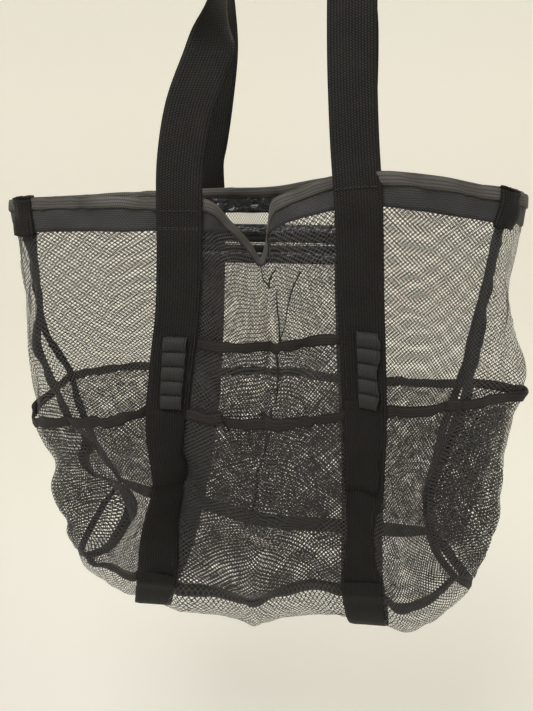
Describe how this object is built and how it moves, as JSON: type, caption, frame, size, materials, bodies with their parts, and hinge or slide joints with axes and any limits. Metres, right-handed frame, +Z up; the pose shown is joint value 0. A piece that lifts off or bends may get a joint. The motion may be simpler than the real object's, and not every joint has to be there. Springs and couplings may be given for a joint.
{
  "type": "mesh laundry tote bag",
  "caption": "Open-mesh carry bag with long webbing handles, patch pockets all round, elastic loops and an inner zip pocket.",
  "frame": {"origin": "carry point: midway between the two grips, at the height of their underside", "axes": "+Z up along the hanging bag, -Y out of the front face with the loops, +X to the right seen from the front"},
  "size_m": [0.575, 0.1845, 0.8363],
  "materials": {
    "mesh": "open warp-knit netting, soft",
    "webbing": "ribbed polypropylene webbing, slight sheen",
    "rim_band": "close plain-weave band",
    "binding": "folded grosgrain binding",
    "elastic": "woven elastic",
    "coated_strip": "crinkled coated fabric, glossy",
    "zipper_tape": "herringbone zipper tape",
    "zipper_coil": "nylon coil",
    "zipper_metal": "black painted, worn edges",
    "thread": "polyester thread"
  },
  "bodies": {
    "bag": {"front_mesh_panel": "mesh", "back_mesh_panel": "mesh", "left_side_mesh": "mesh", "right_side_mesh": "mesh", "base_mesh_panel": "mesh", "front_right_pocket": "mesh", "front_left_pocket": "mesh", "front_tall_pocket": "mesh", "front_low_pocket": "mesh", "back_right_pocket": "mesh", "back_left_pocket": "mesh", "back_low_pocket": "mesh", "left_side_pocket": "mesh", "right_side_pocket": "mesh", "inner_pocket_mesh": "mesh", "front_left_strap": "webbing", "front_right_strap": "webbing", "back_left_strap": "webbing", "back_right_strap": "webbing", "left_base_strap": "webbing", "right_base_strap": "webbing", "left_rim_tab": "webbing", "right_rim_tab": "webbing", "front_rim_band": "rim_band", "back_rim_band": "rim_band", "left_rim_band": "rim_band", "right_rim_band": "rim_band", "front_rim_binding": "binding", "back_rim_binding": "binding", "left_rim_binding": "binding", "right_rim_binding": "binding", "front_pocket_binding": "binding", "back_pocket_binding": "binding", "tall_pocket_binding": "binding", "left_pocket_binding": "binding", "right_pocket_binding": "binding", "front_left_seam_tape": "binding", "front_right_seam_tape": "binding", "back_left_seam_tape": "binding", "back_right_seam_tape": "binding", "front_base_tape": "binding", "back_base_tape": "binding", "left_base_tape": "binding", "right_base_tape": "binding", "left_elastic_loops": "elastic", "right_elastic_loops": "elastic", "inner_pocket_upper_strip": "coated_strip", "inner_pocket_lower_strip": "coated_strip", "zipper_upper_tape": "zipper_tape", "zipper_lower_tape": "zipper_tape", "zipper_coil": "zipper_coil", "zipper_end_stops": "zipper_metal", "strap_bar_tacks": "thread"},
    "front_handle": {"front_handle": "webbing"},
    "back_handle": {"back_handle": "webbing"},
    "zip_slider": {"zipper_slider": "zipper_metal"},
    "zip_pull": {"zipper_pull_tab": "zipper_metal"}
  },
  "joints": [
    {"name": "front_handle_fold", "type": "hinge", "parent": "bag", "child": "front_handle", "pos_m": [0, -0.0845, -0.28696], "axis": [1, 0, 0], "range_deg": [0, 170]},
    {"name": "back_handle_fold", "type": "hinge", "parent": "bag", "child": "back_handle", "pos_m": [0, 0.0845, -0.28696], "axis": [-1, 0, 0], "range_deg": [0, 170]},
    {"name": "zip_slide", "type": "slide", "parent": "bag", "child": "zip_slider", "axis": [1, 0, 0], "range_m": [-0.184, 0]},
    {"name": "pull_tab_flip", "type": "hinge", "parent": "zip_slider", "child": "zip_pull", "pos_m": [0.092, 0.06175, -0.35146], "axis": [0, 0, 1], "range_deg": [0, 165]}
  ]
}
